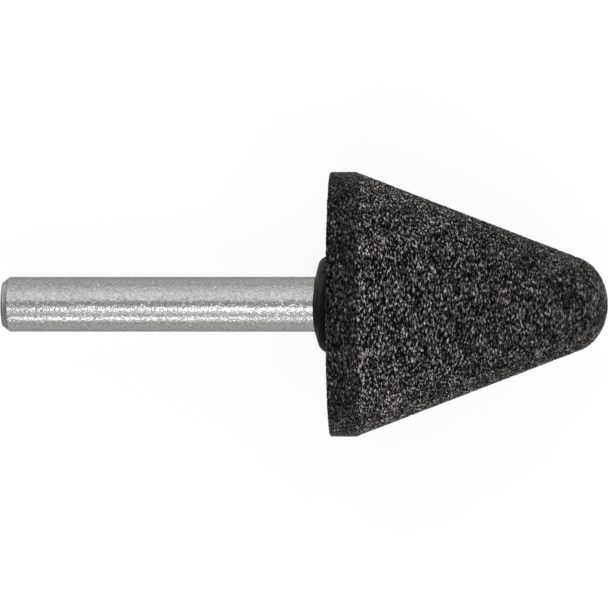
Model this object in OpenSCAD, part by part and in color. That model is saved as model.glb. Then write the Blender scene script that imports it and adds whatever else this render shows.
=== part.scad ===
// Mounted point: a moulded abrasive cone with a rounded nose, cemented onto a plain steel shank.
// The tool's axis is X, with the nose towards +X. The origin is on the axis, where the bare shank
// meets the collar of cement.

/* [Abrasive head] */
// Diameter of the head at its rim
head_d = 30.45; // [24:0.05:38]
// Length of the head from its back face to the tip of the nose
head_len = 31.85; // [26:0.05:40]
// Length of the straight rim beside the back face
rim_len = 3; // [1.5:0.05:6]
// Bevel that breaks the back edge of the rim
rim_bevel = 0.15; // [0.05:0.05:0.5]
// Diameter of the cone where it would meet the plane of the tip
nose_d = 8.15; // [7:0.05:12]
// Height of the crowned end above the rounded edge of the nose
nose_crown = 0.4; // [0.2:0.05:1]
// Radius of the rounded edge between the cone and the crowned end
nose_edge_r = 4.35; // [2:0.05:5]

/* [Shank] */
// Diameter of the bare shank
shank_d = 6.35; // [5:0.05:8]
// Length of the shank outside the head, from its free end to the back face
shank_len = 37.8; // [25:0.1:60]
// Length of the chamfer on the free end, along the axis
chamfer_len = 0.8; // [0.3:0.05:1.5]
// Depth of the chamfer on the free end, across the axis
chamfer_depth = 0.6; // [0.3:0.05:1.2]

/* [Tang inside the head] */
// How much smaller the tang is than the bare shank, in radius
tang_step = 0.25; // [0.1:0.05:0.5]
// Length of the tang inside the head
tang_len = 17; // [14:0.1:19]
// Bevel on the end of the tang
tang_bevel = 0.5; // [0.2:0.05:1]
// Number of turned grooves that key into the cement
groove_count = 3; // [1:1:4]
// Width of each groove
groove_w = 1.2; // [0.6:0.05:2]
// Depth of each groove
groove_depth = 0.35; // [0.1:0.05:0.8]
// Distance from one groove to the next
groove_pitch = 3.2; // [2.2:0.05:3.5]
// Distance from the end of the tang to the first groove
groove_start = 2.4; // [1.2:0.05:3]

/* [Cement] */
// Gap around the tang in the bore, filled by the cement
bond_gap = 0.5; // [0.1:0.05:0.8]
// Gap between the end of the tang and the end of the bore's full diameter
pocket_gap = 0.3; // [0.1:0.05:1]
// Diameter of the collar of cement on the back face
collar_d = 11.2; // [9.5:0.05:15]
// Height of the collar along the shank
collar_h = 1.95; // [1.2:0.05:3]
// Radius of the collar's rounded edge
collar_edge_r = 1.45; // [0.5:0.05:1.8]

/* [Hidden] */
$fn = 128;

head_r = head_d / 2;
nose_r = nose_d / 2;
shank_r = shank_d / 2;
tang_r = shank_r - tang_step;
collar_r = collar_d / 2;
bore_r = tang_r + bond_gap;
bore_len = tang_len + pocket_gap;
// Half of the included angle of the drilled end of the bore
drill_half_angle = 59;
bore_point = bore_r / tan(drill_half_angle);

// The cone's half angle, and the height at which its flanks would meet
cone_angle = atan((head_r - nose_r) / (head_len - rim_len));
apex_z = rim_len + head_r / tan(cone_angle);

// The nose's rounded edge is a circle that touches the cone, limited to what the cone's width allows
edge_r = min(nose_edge_r, nose_r / (1 / cos(cone_angle) - tan(cone_angle)));
edge_z = head_len - nose_crown - edge_r;
edge_x = (apex_z - edge_z) * tan(cone_angle) - edge_r / cos(cone_angle);
// The crowned end is a circle about the axis that passes through the tip and touches the edge's circle
crown_r = (edge_x * edge_x + 2 * edge_r * nose_crown + nose_crown * nose_crown) / (2 * nose_crown);
crown_z = head_len - crown_r;
crown_angle = atan2(edge_x, edge_z - crown_z);

// The collar's rounded edge, and its sloping face that runs from the shank to touch that edge
bead_r = min(collar_edge_r, collar_h, collar_r - bore_r);
bead_x = collar_r - bead_r;
bead_reach = norm([bead_x - shank_r, collar_h]);
collar_slope = atan2(bead_x - shank_r, collar_h) + asin(bead_r / bead_reach);

// How far each rounded edge overlaps the two faces that it joins, so that they cross cleanly
blend = 0.0005;

// Point at a distance and a direction from a centre, with the angle taken from the axis
function polar(centre, reach, angle) = centre + reach * [sin(angle), cos(angle)];

// Half section of the head, without its bore: radius across, height above the back face along the axis
module head_section() {
    edge_centre = [edge_x, edge_z];
    crown_centre = [0, crown_z];
    polygon([
        [0, 0],
        [head_r - rim_bevel, 0],
        [head_r, rim_bevel],
        [head_r, rim_len],
        polar(edge_centre, edge_r, 90 - cone_angle),
        edge_centre,
        [0, edge_z]
    ]);
    intersection() {
        translate(edge_centre) circle(edge_r + blend);
        square([head_r, head_len]);
    }
    intersection() {
        translate(crown_centre) circle(crown_r);
        polygon([
            [0, edge_z],
            edge_centre,
            polar(crown_centre, 2 * crown_r, crown_angle),
            [0, 2 * head_len]
        ]);
    }
}

// Half section of the shank, from its chamfered free end to the bevelled end of its tang
module shank_section() {
    polygon([
        [0, -shank_len],
        [shank_r - chamfer_depth, -shank_len],
        [shank_r, -shank_len + chamfer_len],
        [shank_r, -collar_h],
        [tang_r, -collar_h],
        [tang_r, tang_len - tang_bevel],
        [tang_r - tang_bevel, tang_len],
        [0, tang_len]
    ]);
}

// Half section of one groove, open on the outside of the tang
module groove_section() {
    translate([tang_r - groove_depth, 0]) square([2 * groove_depth, groove_w]);
}

// Half section of the collar, from the shank out to its rounded edge on the back face
module collar_section() {
    bead_centre = [bead_x, 0];
    intersection() {
        union() {
            polygon([
                [0, 0],
                [0, -collar_h],
                [shank_r, -collar_h],
                polar(bead_centre, bead_r, 90 + collar_slope),
                bead_centre
            ]);
            translate(bead_centre) circle(bead_r + blend);
        }
        translate([0, -2 * collar_h]) square([2 * collar_r, 2 * collar_h]);
    }
}

module shank_form() {
    rotate_extrude() difference() {
        shank_section();
        for (i = [0 : groove_count - 1])
            translate([0, tang_len - groove_start - i * groove_pitch - groove_w]) groove_section();
    }
}

module bore_form() {
    cylinder(h = bore_len, r = bore_r);
    translate([0, 0, bore_len]) cylinder(h = bore_point, r1 = bore_r, r2 = 0);
}

// Each form is drawn along +Z from the back face, then turned to lie along +X
module along_x() {
    translate([collar_h, 0, 0]) rotate([0, 90, 0]) children();
}

module shank() {
    color("silver") along_x() shank_form();
}

module cement_collar() {
    color([0.12, 0.12, 0.12]) along_x() difference() {
        union() {
            bore_form();
            rotate_extrude() collar_section();
        }
        shank_form();
    }
}

module abrasive_head() {
    color([0.2, 0.2, 0.2]) along_x() difference() {
        rotate_extrude() head_section();
        bore_form();
    }
}

shank();
cement_collar();
abrasive_head();
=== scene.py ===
"""Looks for the mounted point: a ground steel shank, a cured cement collar and a coarse abrasive cone."""

import itertools
import math

import bpy
import numpy as np
from mathutils import Matrix, Vector

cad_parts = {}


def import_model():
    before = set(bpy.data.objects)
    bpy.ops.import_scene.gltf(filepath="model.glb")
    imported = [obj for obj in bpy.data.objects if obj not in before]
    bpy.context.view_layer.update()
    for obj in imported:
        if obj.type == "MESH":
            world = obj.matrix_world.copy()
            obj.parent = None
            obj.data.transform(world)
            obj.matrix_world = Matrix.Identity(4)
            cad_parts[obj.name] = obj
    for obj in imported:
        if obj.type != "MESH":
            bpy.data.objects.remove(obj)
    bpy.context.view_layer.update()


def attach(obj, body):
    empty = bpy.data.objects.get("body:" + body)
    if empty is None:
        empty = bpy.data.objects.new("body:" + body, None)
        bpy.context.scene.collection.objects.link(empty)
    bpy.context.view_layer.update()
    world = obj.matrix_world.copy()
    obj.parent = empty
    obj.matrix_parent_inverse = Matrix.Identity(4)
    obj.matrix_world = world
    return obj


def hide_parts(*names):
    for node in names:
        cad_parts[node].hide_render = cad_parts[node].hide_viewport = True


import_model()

MM = 0.001

# Sizes in millimetres, stated in the part's source or worked out there, with radii for its diameters
HEAD_R = 15.225
HEAD_LEN = 31.85
RIM_LEN = 3.0
RIM_BEVEL = 0.15
NOSE_R = 4.075
NOSE_CROWN = 0.4
EDGE_R = 4.35
SHANK_R = 3.175
SHANK_LEN = 37.8
CHAMFER_LEN = 0.8
CHAMFER_DEPTH = 0.6
TANG_R = 2.925
TANG_LEN = 17.0
TANG_BEVEL = 0.5
GROOVES = 3
GROOVE_W = 1.2
GROOVE_DEPTH = 0.35
GROOVE_PITCH = 3.2
GROOVE_START = 2.4
BORE_R = 3.425
BORE_LEN = 17.3
DRILL_HALF_ANGLE = math.radians(59)
COLLAR_R = 5.6
COLLAR_H = 1.95
BEAD_R = 1.45

# Places along X: the back face of the head, its tip, and the free end of the shank
BACK = COLLAR_H
TIP = BACK + HEAD_LEN
FREE_END = BACK - SHANK_LEN
# How deep the drilled point of the bore lies under the back face
BORE_POINT = BORE_LEN + BORE_R / math.tan(DRILL_HALF_ANGLE)
# How far the bare shank runs on under the uneven edge of the cement
LIP = 0.35


# Noise and grain patterns on arrays of points

CELL_FACTORS = (73856093, 19349663, 83492791)
SEED_FACTOR = 2654435761
MIX_FACTORS = (1274126177, 2246822519)
LOW_BITS = 0xFFFFFFFF


def hashed(cells, seed):
    """A value from 0 to 1 for each integer cell."""
    x, y, z = np.moveaxis(cells.astype(np.int64), -1, 0)
    h = x * CELL_FACTORS[0] ^ y * CELL_FACTORS[1] ^ z * CELL_FACTORS[2] ^ (seed * SEED_FACTOR)
    h = (h ^ (h >> 13)) & LOW_BITS
    h = (h * MIX_FACTORS[0]) & LOW_BITS
    h = (h ^ (h >> 16)) & LOW_BITS
    h = (h * MIX_FACTORS[1]) & LOW_BITS
    h = (h ^ (h >> 15)) & LOW_BITS
    return h / float(LOW_BITS)


def noise(points, seed):
    """Smooth noise from -1 to 1, with features about one unit across."""
    base = np.floor(points)
    t = points - base
    t = t * t * (3 - 2 * t)
    total = np.zeros(len(points))
    for corner in itertools.product((0, 1), repeat=3):
        weight = np.ones(len(points))
        for axis, far in enumerate(corner):
            weight = weight * (t[:, axis] if far else 1 - t[:, axis])
        total += weight * hashed(base + np.array(corner), seed)
    return 2 * total - 1


def grains(points, seed):
    """Height from 0 to 1 of a bed of tilted, angular grains about one unit across."""
    lowest, spread, slope = 0.35, 0.5, 0.9
    valley_width, valley_floor = 0.22, 0.35
    base = np.floor(points)
    near = np.full(len(points), np.inf)
    second = np.full(len(points), np.inf)
    height = np.zeros(len(points))
    for offset in itertools.product((-1, 0, 1), repeat=3):
        cell = base + np.array(offset)
        spot = cell + np.stack([hashed(cell, seed + k) for k in (1, 2, 3)], axis=-1)
        gap = points - spot
        dist = np.sqrt((gap ** 2).sum(axis=1))
        tilt = np.stack([hashed(cell, seed + k) - 0.5 for k in (4, 5, 6)], axis=-1)
        top = lowest + spread * hashed(cell, seed + 7) + slope * (gap * tilt).sum(axis=1)
        closer = dist < near
        second = np.where(closer, near, np.minimum(second, dist))
        height = np.where(closer, top, height)
        near = np.where(closer, dist, near)
    valley = np.clip((second - near) / valley_width, 0, 1)
    return np.clip(height * (valley_floor + (1 - valley_floor) * valley), 0, 1)


# Lathed meshes

FEWEST_AROUND = 24
# The part of the bake map that is used: its edge is left free, and the seam runs on past a full turn
MAP_EDGE = 0.01
MAP_SPAN = 0.95


def line(start, end, step):
    """Points of a half section, (x, radius, step), from start towards end, without the end."""
    count = max(1, math.ceil(math.dist(start, end) / step))
    return [(start[0] + (end[0] - start[0]) * i / count,
             start[1] + (end[1] - start[1]) * i / count, step)
            for i in range(count)]


def lines(corners, step):
    """Points along a row of straight lines, without the last end."""
    return [p for start, end in zip(corners, corners[1:]) for p in line(start, end, step)]


def arc(centre, radius, start, end, step):
    """Points along an arc, without its end. Angles are from the +X axis, in radians."""
    count = max(1, math.ceil(abs(end - start) * radius / step))
    return [(centre[0] + radius * math.cos(start + (end - start) * i / count),
             centre[1] + radius * math.sin(start + (end - start) * i / count), step)
            for i in range(count)]


def outward(section):
    """The outward normal at each point of a half section, as (along X, away from X)."""
    places = np.array([(x, r) for x, r, step in section])
    ahead = np.roll(places, -1, axis=0) - np.roll(places, 1, axis=0)
    ahead[0] = places[1] - places[0]
    ahead[-1] = places[-1] - places[-2]
    ahead /= np.linalg.norm(ahead, axis=1)[:, None]
    return np.stack([-ahead[:, 1], ahead[:, 0]], axis=1)


def ring(along, away, angle):
    """Places or directions around X, one for each angle."""
    return np.stack([np.full(len(angle), along), away * np.cos(angle), away * np.sin(angle)], axis=1)


def bridge(ring_a, ring_b):
    """Triangles between two neighbouring rings, each given as (first point, count, turn in steps).

    A ring of one point lies on the axis and has no steps.
    """
    first_a, count_a, turn_a = ring_a
    first_b, count_b, turn_b = ring_b
    steps_a = count_a if count_a > 1 else 0
    steps_b = count_b if count_b > 1 else 0
    faces = []
    a = b = 0
    while a < steps_a or b < steps_b:
        next_a = (a + 1 + turn_a) / count_a if a < steps_a else math.inf
        next_b = (b + 1 + turn_b) / count_b if b < steps_b else math.inf
        here_a = first_a + a % count_a
        here_b = first_b + b % count_b
        if next_a <= next_b:
            faces.append((here_a, first_a + (a + 1) % count_a, here_b))
            a += 1
        else:
            faces.append((here_a, first_b + (b + 1) % count_b, here_b))
            b += 1
    return faces


def add_map(mesh, around, up):
    """A UV map for baking, with the turn about the axis across it and the rings up it.

    A triangle over the seam runs on past a full turn. A point on the axis, which has no turn of its own,
    lies between the two others.
    """
    corners = np.empty(len(mesh.loops), np.int32)
    mesh.loops.foreach_get("vertex_index", corners)
    u = around[corners].reshape(-1, 3)
    u = np.where(np.nanmax(u, axis=1, keepdims=True) - u > 0.5, u + 1, u)
    u = np.where(np.isnan(u), np.nanmean(u, axis=1, keepdims=True), u)
    uv = np.stack([MAP_EDGE + MAP_SPAN * u.ravel(), MAP_EDGE + MAP_SPAN * up[corners]], axis=1)
    mesh.uv_layers.new(name="OFBake").uv.foreach_set("vector", uv.astype(np.float32).ravel())


def placed(name, data):
    """A new object in the scene."""
    piece = bpy.data.objects.new(name, data)
    bpy.context.scene.collection.objects.link(piece)
    return piece


def lathe(name, section, relief):
    """A closed mesh turned about X from a half section of (x, radius, step), and shifted by relief.

    The step sets the spacing of points around each ring, and every second ring is turned by half a step.
    relief takes the points and their normals, and gives a shift for each point, all in millimetres.
    """
    points, normals, rings, around, up = [], [], [], [], []
    first = 0
    for i, ((x, r, step), (out_x, out_r)) in enumerate(zip(section, outward(section))):
        count = 1 if r < 1e-6 else max(FEWEST_AROUND, round(2 * math.pi * r / step))
        turn = 0.5 * (i % 2)
        angle = (np.arange(count) + turn) * 2 * math.pi / count
        points.append(ring(x, r, angle))
        normals.append(ring(out_x, out_r, angle))
        rings.append((first, count, turn))
        around.append(angle / (2 * math.pi) if count > 1 else [np.nan])
        up.append(np.full(count, i / (len(section) - 1)))
        first += count
    points = np.concatenate(points)
    shift = relief(points, np.concatenate(normals))
    faces = [face for pair in zip(rings, rings[1:]) for face in bridge(*pair)]

    mesh = bpy.data.meshes.new(name)
    mesh.from_pydata(((points + shift) * MM).tolist(), [], faces)
    mesh.validate()
    depth = np.linalg.norm(shift, axis=1)
    mesh.attributes.new("depth", "FLOAT", "POINT").data.foreach_set("value", depth)
    add_map(mesh, np.concatenate(around), np.concatenate(up))
    return placed(name, mesh)


def smooth(piece, angle):
    """Smooth shading, with edges sharper than the angle kept."""
    piece.data.polygons.foreach_set("use_smooth", [True] * len(piece.data.polygons))
    piece.data.set_sharp_from_angle(angle=angle)


# Half sections, each from the axis along the piece's surface and back to the axis

def groove(start, end, step):
    """A square groove in the tang, without the corner at its end."""
    bottom = TANG_R - GROOVE_DEPTH
    return lines([(start, TANG_R), (start, bottom), (end, bottom), (end, TANG_R)], step)


def shank_section():
    fine, coarse = 0.11, 0.4
    end_step, chamfer_step = 0.12, 0.06
    end = BACK + TANG_LEN
    end_r = SHANK_R - CHAMFER_DEPTH
    s = line((FREE_END, 0), (FREE_END, end_r), end_step)
    s += line((FREE_END, end_r), (FREE_END + CHAMFER_LEN, SHANK_R), chamfer_step)
    s += line((FREE_END + CHAMFER_LEN, SHANK_R), (LIP, SHANK_R), fine)
    s += line((LIP, SHANK_R), (LIP, TANG_R), coarse)
    here = LIP
    for i in reversed(range(GROOVES)):
        start = end - GROOVE_START - i * GROOVE_PITCH - GROOVE_W
        s += line((here, TANG_R), (start, TANG_R), coarse)
        here = start + GROOVE_W
        s += groove(start, here, coarse)
    bevel = [(end - TANG_BEVEL, TANG_R), (end, TANG_R - TANG_BEVEL)]
    s += lines([(here, TANG_R), *bevel, (end, 0)], coarse)
    return s + [(end, 0, coarse)]


def head_section():
    fine, coarse = 0.168, 0.8
    back_step, bevel_step = 0.3, 0.16
    cone = math.atan((HEAD_R - NOSE_R) / (HEAD_LEN - RIM_LEN))
    apex = RIM_LEN + HEAD_R / math.tan(cone)
    edge_x = HEAD_LEN - NOSE_CROWN - EDGE_R
    edge_r = (apex - edge_x) * math.tan(cone) - EDGE_R / math.cos(cone)
    crown = (edge_r ** 2 + 2 * EDGE_R * NOSE_CROWN + NOSE_CROWN ** 2) / (2 * NOSE_CROWN)
    crown_x = HEAD_LEN - crown
    turn = math.atan2(edge_r, edge_x - crown_x)
    touch = (edge_x + EDGE_R * math.sin(cone), edge_r + EDGE_R * math.cos(cone))
    s = lines([(BORE_POINT, 0), (BORE_LEN, BORE_R), (0, BORE_R)], coarse)
    s += line((0, BORE_R), (0, HEAD_R - RIM_BEVEL), back_step)
    s += line((0, HEAD_R - RIM_BEVEL), (RIM_BEVEL, HEAD_R), bevel_step)
    s += lines([(RIM_BEVEL, HEAD_R), (RIM_LEN, HEAD_R), touch], fine)
    s += arc((edge_x, edge_r), EDGE_R, math.pi / 2 - cone, turn, fine)
    s += arc((crown_x, 0), crown, turn, 0, fine)
    s += [(HEAD_LEN, 0, fine)]
    return [(BACK + x, r, step) for x, r, step in s]


def collar_section():
    fine, coarse = 0.1, 0.4
    bead = COLLAR_R - BEAD_R
    reach = math.hypot(bead - SHANK_R, COLLAR_H)
    slope = math.atan2(bead - SHANK_R, COLLAR_H) + math.asin(BEAD_R / reach)
    touch = (-BEAD_R * math.sin(slope), bead + BEAD_R * math.cos(slope))
    lip = LIP - COLLAR_H
    end = TANG_LEN
    here = end - TANG_BEVEL
    s = lines([(end, 0), (end, TANG_R - TANG_BEVEL), (here, TANG_R)], coarse)
    for i in range(GROOVES):
        start = end - GROOVE_START - i * GROOVE_PITCH
        s += line((here, TANG_R), (start, TANG_R), coarse)
        here = start - GROOVE_W
        s += groove(start, here, coarse)
    s += lines([(here, TANG_R), (lip, TANG_R), (lip, SHANK_R), (-COLLAR_H, SHANK_R)], coarse)
    s += line((-COLLAR_H, SHANK_R), touch, fine)
    s += arc((0, bead), BEAD_R, math.pi / 2 + slope, math.pi / 2, fine)
    s += lines([(0, COLLAR_R), (0, BORE_R), (BORE_LEN, BORE_R), (BORE_POINT, 0)], coarse)
    s += [(BORE_POINT, 0, coarse)]
    return [(BACK + x, r, step) for x, r, step in s]


# Relief, as shifts in millimetres that stay inside the CAD surface

def radii(points):
    """The distance of each point from the X axis."""
    return np.hypot(points[:, 1], points[:, 2])


def shank_relief(points, normals):
    """Fine ground skin with small pits, and turned rings on the chamfer."""
    skin, skin_size, stretch = 0.003, 0.24, np.array([0.7, 1.0, 1.0])
    pit, pit_size, pit_level = 0.012, 0.4, 0.6
    turned, turned_pitch = 0.008, 0.4
    clear, close = 0.05, 0.01
    x = points[:, 0]
    bare = (x < -clear) & (radii(points) > SHANK_R - CHAMFER_DEPTH - close)
    depth = skin * (1 + noise(points * stretch / skin_size, 11))
    pits = noise(points * stretch / pit_size, 13)
    depth += pit * np.clip(pits - pit_level, 0, 1) / (1 - pit_level)
    along = x - FREE_END
    wave = turned * (1 - np.cos(2 * math.pi * along / turned_pitch))
    depth += np.where(along < CHAMFER_LEN, wave, 0.0)
    return -normals * np.where(bare, depth, 0.0)[:, None]


def head_relief(points, normals):
    """Two sizes of grain, shallower on the moulded rim, and none in the bore or under the collar."""
    least, coarse_depth, small_depth, rim_loss = 0.006, 0.14, 0.05, 0.4
    coarse_size, small_size, stretch = 0.42, 0.25, np.array([1.25, 0.85, 0.85])
    full_height = 0.55
    rim_end, rim_fade = BACK + RIM_LEN + 0.5, 0.4
    close, under_collar = 0.01, 0.3
    x = points[:, 0]
    radius = radii(points)
    bore = (radius < BORE_R + close) & (x < BACK + BORE_POINT + close)
    covered = (x < BACK + close) & (radius <= COLLAR_R - under_collar)
    coarse = np.clip(grains(points * stretch / coarse_size, 21) / full_height, 0, 1)
    small = np.clip(grains(points * stretch / small_size, 31) / full_height, 0, 1)
    rim = np.clip((rim_end - x) / rim_fade, 0, 1)
    depth = least + (coarse_depth * (1 - coarse) + small_depth * (1 - small)) * (1 - rim_loss * rim)
    return -normals * np.where(bore | covered, 0.0, depth)[:, None]


def collar_relief(points, normals):
    """A slightly rough skin, and an edge on the shank that is drawn back, most at its two sides."""
    rough, rough_size, fade = 0.006, 0.35, 0.8
    sides, side_power, lean, least = 0.15, 1.5, 0.05, 0.04
    ripple, ripple_size = 0.02, 1.5
    reach, still, least_radius = 4.9, 0.02, 0.1
    close = 0.001
    x = points[:, 0]
    radius = radii(points)
    edge = (radius > SHANK_R - close) & (x < close)
    face = edge | (radius > SHANK_R + close)
    shown = np.where(face, np.clip((BACK - still - x) / fade, 0, 1), 0.0)
    side = points[:, 1] / radius.clip(least_radius)
    uneven = sides * np.abs(side) ** side_power + lean * side
    uneven = uneven + ripple * (1 + noise(points / ripple_size, 51)) + least
    skin = rough * (1 + noise(points / rough_size, 52)) * shown * (radius > SHANK_R + still)
    shift = -normals * skin[:, None]
    shift[:, 0] += uneven * shown * np.clip((reach - radius) / (reach - SHANK_R), 0, 1)
    return shift


shank = lathe("shank_look", shank_section(), shank_relief)
collar = lathe("cement_collar_look", collar_section(), collar_relief)
head = lathe("abrasive_head_look", head_section(), head_relief)
smooth(shank, math.radians(30))
smooth(collar, math.radians(40))


# Materials

class Look:
    """A material, with short ways to add nodes to it. Scales of noise are per metre."""

    def __init__(self, name):
        self.material = bpy.data.materials.new(name)
        self.material.use_nodes = True
        self.nodes = self.material.node_tree.nodes
        self.links = self.material.node_tree.links
        self.shader = self.nodes["Principled BSDF"]

    def put(self, name, value):
        """Sets an input of the shader to a constant."""
        self.shader.inputs[name].default_value = value

    def feed(self, name, source):
        """Links an input of the shader to a socket."""
        self.links.new(source, self.shader.inputs[name])

    def maths(self, operation, *values):
        """A math node on a mix of sockets and numbers."""
        n = self.nodes.new("ShaderNodeMath")
        n.operation = operation
        for socket, value in zip(n.inputs, values):
            if isinstance(value, (int, float)):
                socket.default_value = value
            else:
                self.links.new(value, socket)
        return n.outputs[0]

    def ramp(self, source, stops, warm=0.0):
        """A colour ramp from a list of (position, grey), with the greys warmed by a share."""
        n = self.nodes.new("ShaderNodeValToRGB")
        while len(n.color_ramp.elements) < len(stops):
            n.color_ramp.elements.new(0.5)
        for e, (at, tone) in zip(n.color_ramp.elements, stops):
            e.position = at
            e.color = (tone * (1 + warm), tone, tone * (1 - warm), 1)
        self.links.new(source, n.inputs["Fac"])
        return n.outputs["Color"]

    def place(self):
        """Object coordinates."""
        return self.nodes.new("ShaderNodeTexCoord").outputs["Object"]

    def clouds(self, scale, detail, rough=0.5):
        """Noise, scaled along each axis, then turned so that no pattern lines up with the axes."""
        sized = self.nodes.new("ShaderNodeMapping")
        sized.inputs["Scale"].default_value = scale
        sized.inputs["Rotation"].default_value = (0.4, 0.7, 0.2)
        self.links.new(self.place(), sized.inputs["Vector"])
        n = self.nodes.new("ShaderNodeTexNoise")
        n.inputs["Scale"].default_value = 1.0
        n.inputs["Detail"].default_value = detail
        n.inputs["Roughness"].default_value = rough
        self.links.new(sized.outputs["Vector"], n.inputs["Vector"])
        return n.outputs["Fac"]

    def along_axis(self, start, end, first, last, axis="X", sway=0.0):
        """A value that runs from first to last between two places along an axis, in millimetres.

        sway, a number or a socket in metres, moves both places.
        """
        split = self.nodes.new("ShaderNodeSeparateXYZ")
        self.links.new(self.place(), split.inputs["Vector"])
        n = self.nodes.new("ShaderNodeMapRange")
        n.inputs["From Min"].default_value = start * MM
        n.inputs["From Max"].default_value = end * MM
        n.inputs["To Min"].default_value = first
        n.inputs["To Max"].default_value = last
        self.links.new(self.maths("SUBTRACT", split.outputs[axis], sway), n.inputs["Value"])
        return n.outputs["Result"]

    def bumps(self, height, strength, distance):
        """Bumps of a height socket, over a distance in millimetres."""
        n = self.nodes.new("ShaderNodeBump")
        n.inputs["Strength"].default_value = strength
        n.inputs["Distance"].default_value = distance * MM
        self.links.new(height, n.inputs["Height"])
        self.feed("Normal", n.outputs["Normal"])


def steel():
    """Blotched grey. On the chamfer and the end: turned lines with painted reflection bands, and painted
    light and shade, darker towards -Y and lighter towards +Y.
    """
    look = Look("ground steel")
    look.put("Metallic", 1.0)
    look.put("Specular Tint", (0.55, 0.55, 0.55, 1))
    blotch = look.clouds((3200, 4200, 4200), detail=4.0)
    chamfer = look.along_axis(FREE_END, FREE_END + 2 * CHAMFER_LEN, 0.0, 1.0)
    plain = 0.2
    # Bands of tone across the chamfer and the end: turned lines, and painted reflection bands, lighter
    # and darker in turn
    turned = look.ramp(chamfer, [(0.0, 0.26), (0.06, 0.32), (0.11, 0.44), (0.15, 0.26), (0.2, 0.13),
                                 (0.28, 0.2), (0.36, 0.36), (0.43, 0.54), (0.48, 0.44), (0.51, plain)])
    turned_and_reflection_bands = look.maths("SUBTRACT", plain, turned)
    on_chamfer = look.maths("LESS_THAN", chamfer, 0.5)
    # Painted light and shade on the chamfer and the end: darker towards -Y, lighter towards +Y
    painted_chamfer_shade = look.maths("MULTIPLY", look.along_axis(-1, 0.6, -0.3, 0.15, "Y"), on_chamfer)
    shade = look.maths("ADD", look.maths("ADD", blotch, turned_and_reflection_bands), painted_chamfer_shade)
    tones = [(0.2, 0.165), (0.35, 0.262), (0.5, 0.33), (0.7, 0.417)]
    look.feed("Base Color", look.ramp(shade, tones, 0.022))
    look.feed("Roughness", look.ramp(blotch, [(0.3, 0.17), (0.7, 0.11)]))
    speckle = look.clouds((5600, 6200, 6200), detail=0.0)
    dents = look.ramp(look.clouds((2600, 3400, 3400), detail=1.0), [(0.57, 0.0), (0.73, 1.0)])
    look.bumps(look.maths("ADD", speckle, dents), 1.0, 0.0145)
    return look.material


def cement():
    """Dark and cloudy, with painted light and shade, lighter towards +Y and darker towards -Y, and
    painted shade, darkest in the corner at the head.
    """
    look = Look("cured cement")
    cloud = look.clouds((1400, 1400, 1400), detail=4.0)
    # Painted light and shade: lighter towards +Y, darker towards -Y
    side = look.along_axis(-3, 3, -0.26, 0.25, "Y")
    # Painted shade in the corner at the head, where the head shades the collar
    corner = look.along_axis(BACK - 0.7, BACK - 0.3, 0.0, -0.3)
    shade = look.maths("ADD", look.maths("ADD", cloud, side), corner)
    tones = [(0.1, 0.001), (0.3, 0.003), (0.5, 0.01), (0.7, 0.029), (0.9, 0.042)]
    look.feed("Base Color", look.ramp(shade, tones, 0.07))
    look.feed("Roughness", look.ramp(cloud, [(0.3, 0.42), (0.7, 0.6)]))
    look.put("Specular IOR Level", 0.03)
    look.bumps(cloud, 0.3, 0.02)
    return look.material


def grain_contrast(look, edge, sway):
    """How strongly the grain shows: most beside the rim, less towards the tip, and weakly on the rim."""
    cone = look.along_axis(edge, TIP, 1.12, 0.57)
    rim = look.along_axis(edge - 0.15, edge + 0.1, 0.58, 1.0, sway=sway)
    nose = look.along_axis(TIP - 8, TIP - 3, 1.0, 0.72)
    return look.maths("MULTIPLY", look.maths("MULTIPLY", cone, rim), nose)


def abrasive():
    """Grey flecks, and pits darkened by the dark bond and by painted shade, duller on the rim, whose
    border with the cone is ragged.
    """
    look = Look("bonded grain")
    grain = look.clouds((5600, 2200, 2200), detail=2.5, rough=0.65)
    patch = look.clouds((600, 600, 600), detail=2.0)
    edge = BACK + RIM_LEN + 0.4
    sway = look.maths("MULTIPLY", look.maths("SUBTRACT", patch, 0.5), 1.6 * MM)
    skin = look.along_axis(edge - 0.15, edge + 0.1, -0.038, -0.008, sway=sway)
    worn = look.along_axis(TIP - 12, TIP, 0.0, 0.028)
    depth = look.nodes.new("ShaderNodeAttribute")
    depth.attribute_name = "depth"
    contrast = grain_contrast(look, edge, sway)
    middle, bond_and_pit_shade_share, patch_share = 0.476, -0.9, 0.14
    total = look.maths("MULTIPLY_ADD", look.maths("SUBTRACT", grain, 0.5), contrast, middle)
    # Darker with the depth of the relief: the dark bond between the grains, and painted shade in the pits
    total = look.maths("MULTIPLY_ADD", depth.outputs["Fac"], bond_and_pit_shade_share, total)
    total = look.maths("MULTIPLY_ADD", patch, patch_share, total)
    total = look.maths("ADD", look.maths("ADD", total, skin), worn)
    tones = [(0.36, 0.0008), (0.45, 0.005), (0.51, 0.02), (0.57, 0.075), (0.63, 0.22), (0.7, 0.45)]
    look.feed("Base Color", look.ramp(total, tones, 0.065))
    look.feed("Roughness", look.ramp(grain, [(0.3, 0.8), (0.7, 0.5)]))
    look.put("Specular IOR Level", 0.01)
    look.put("Sheen Weight", 0.5)
    look.put("Sheen Roughness", 0.2)
    look.bumps(look.clouds((7600, 5600, 5600), detail=3.0), 0.6, 0.06)
    return look.material


for piece, node, slot, look in ((shank, "shank", "steel", steel()),
                                (collar, "cement_collar", "cement", cement()),
                                (head, "abrasive_head", "abrasive", abrasive())):
    piece.data.materials.append(look)
    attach(piece, "root")
    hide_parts(node)


# Floor, light and camera

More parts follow.
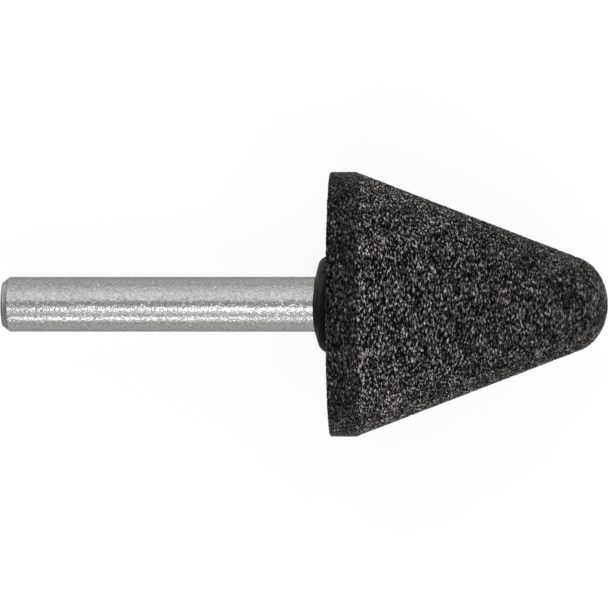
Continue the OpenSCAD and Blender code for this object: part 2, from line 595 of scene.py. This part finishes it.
def white_floor():
    """A matt white that also glows for the camera and in mirrors, so that it shows as an even white."""
    look = Look("white floor")
    glow = 0.9
    look.put("Base Color", (0.9, 0.9, 0.9, 1))
    look.put("Roughness", 0.9)
    look.put("Specular IOR Level", 0.0)
    path = look.nodes.new("ShaderNodeLightPath").outputs
    seen = look.maths("MAXIMUM", path["Is Camera Ray"], path["Is Glossy Ray"])
    seen = look.maths("MAXIMUM", seen, path["Is Transmission Ray"])
    white = look.nodes.new("ShaderNodeEmission")
    white.inputs["Strength"].default_value = 1.0
    mix = look.nodes.new("ShaderNodeMixShader")
    look.links.new(look.maths("MULTIPLY", seen, glow), mix.inputs["Fac"])
    look.links.new(look.shader.outputs["BSDF"], mix.inputs[1])
    look.links.new(white.outputs["Emission"], mix.inputs[2])
    look.links.new(mix.outputs["Shader"], look.nodes["Material Output"].inputs["Surface"])
    return look.material


def floor():
    """A square, in metres, just under the head."""
    half, low = 1.5, -15.3 * MM
    mesh = bpy.data.meshes.new("floor")
    corners = [(-half, -half, low), (half, -half, low), (half, half, low), (-half, half, low)]
    mesh.from_pydata(corners, [], [(0, 1, 2, 3)])
    mesh.materials.append(white_floor())
    placed("floor", mesh)


def facing(right, up, back, place):
    """The matrix of a lamp or camera at a place, which looks away from its back."""
    return Matrix.Translation(place) @ Matrix((right, up, back)).transposed().to_4x4()


def softbox(name, low, high, radiance, start=-350, end=350, distance=700):
    """A lamp that faces the tool's axis, between two angles from straight up, towards +Y.

    Along the axis it runs from start to end. These and the distance are in millimetres.
    """
    distance *= MM
    lamp = bpy.data.lights.new(name, "AREA")
    lamp.shape = "RECTANGLE"
    lamp.size = (end - start) * MM
    lamp.size_y = 2 * distance * math.tan(math.radians(high - low) / 2)
    lamp.energy = radiance * math.pi * lamp.size * lamp.size_y
    middle = math.radians((low + high) / 2)
    back = Vector((0, math.sin(middle), math.cos(middle)))
    along = Vector((1, 0, 0))
    place = back * distance + along * (start + end) / 2 * MM
    placed(name, lamp).matrix_world = facing(along, back.cross(along), back, place)


def world(level):
    """An even grey all around."""
    w = bpy.data.worlds.new("studio")
    w.use_nodes = True
    w.node_tree.nodes["Background"].inputs["Color"].default_value = (level, level, level, 1)
    bpy.context.scene.world = w


def camera():
    """Almost straight above, at the place and with the lens that fit the photo."""
    place = Vector((16.8, 0, 381)) * MM
    aim = Vector((-1.07, 0.03, 0)) * MM
    sensor, lens = 36, 196.3
    cam = placed("camera", bpy.data.cameras.new("camera"))
    back = (place - aim).normalized()
    right = Vector((0, 1, 0)).cross(back).normalized()
    cam.matrix_world = facing(right, back.cross(right), back, place)
    cam.data.sensor_width = sensor
    cam.data.lens = lens
    cam.data.clip_start = 0.01
    bpy.context.scene.camera = cam


floor()
world(0.7)
softbox("upper softbox", 12.5, 87, 0.39)
softbox("upper middle", 14, 71, 0.27)
softbox("upper core", 16, 52, 0.32)
softbox("near strip", -26, -14.5, 1.5, start=-170)
softbox("near strip over the shank", -26, -14.5, 1.0, start=-112, distance=720)
softbox("near strip over the head", -26, -14.5, 2.6, start=-66, distance=740)
softbox("near rise", -14.5, -4, 0.28, start=-170)
softbox("near edge", -38, -26, 1.05, start=-170)
softbox("lower fill", -58, -38, 0.48, start=-170)
softbox("low strip", -67, -58, 0.5, start=-170)
softbox("low strip over the shank", -67, -58, 4.2, start=-170, end=-45, distance=720)
softbox("low edge", -82, -67, 0.55, start=-170)
softbox("upper side of the head", 68, 88, 4.3, start=100, end=390, distance=740)
softbox("lower side of the head", -88, -68, 4.3, start=100, end=390, distance=740)
camera()
bpy.context.scene.view_settings.view_transform = "Standard"
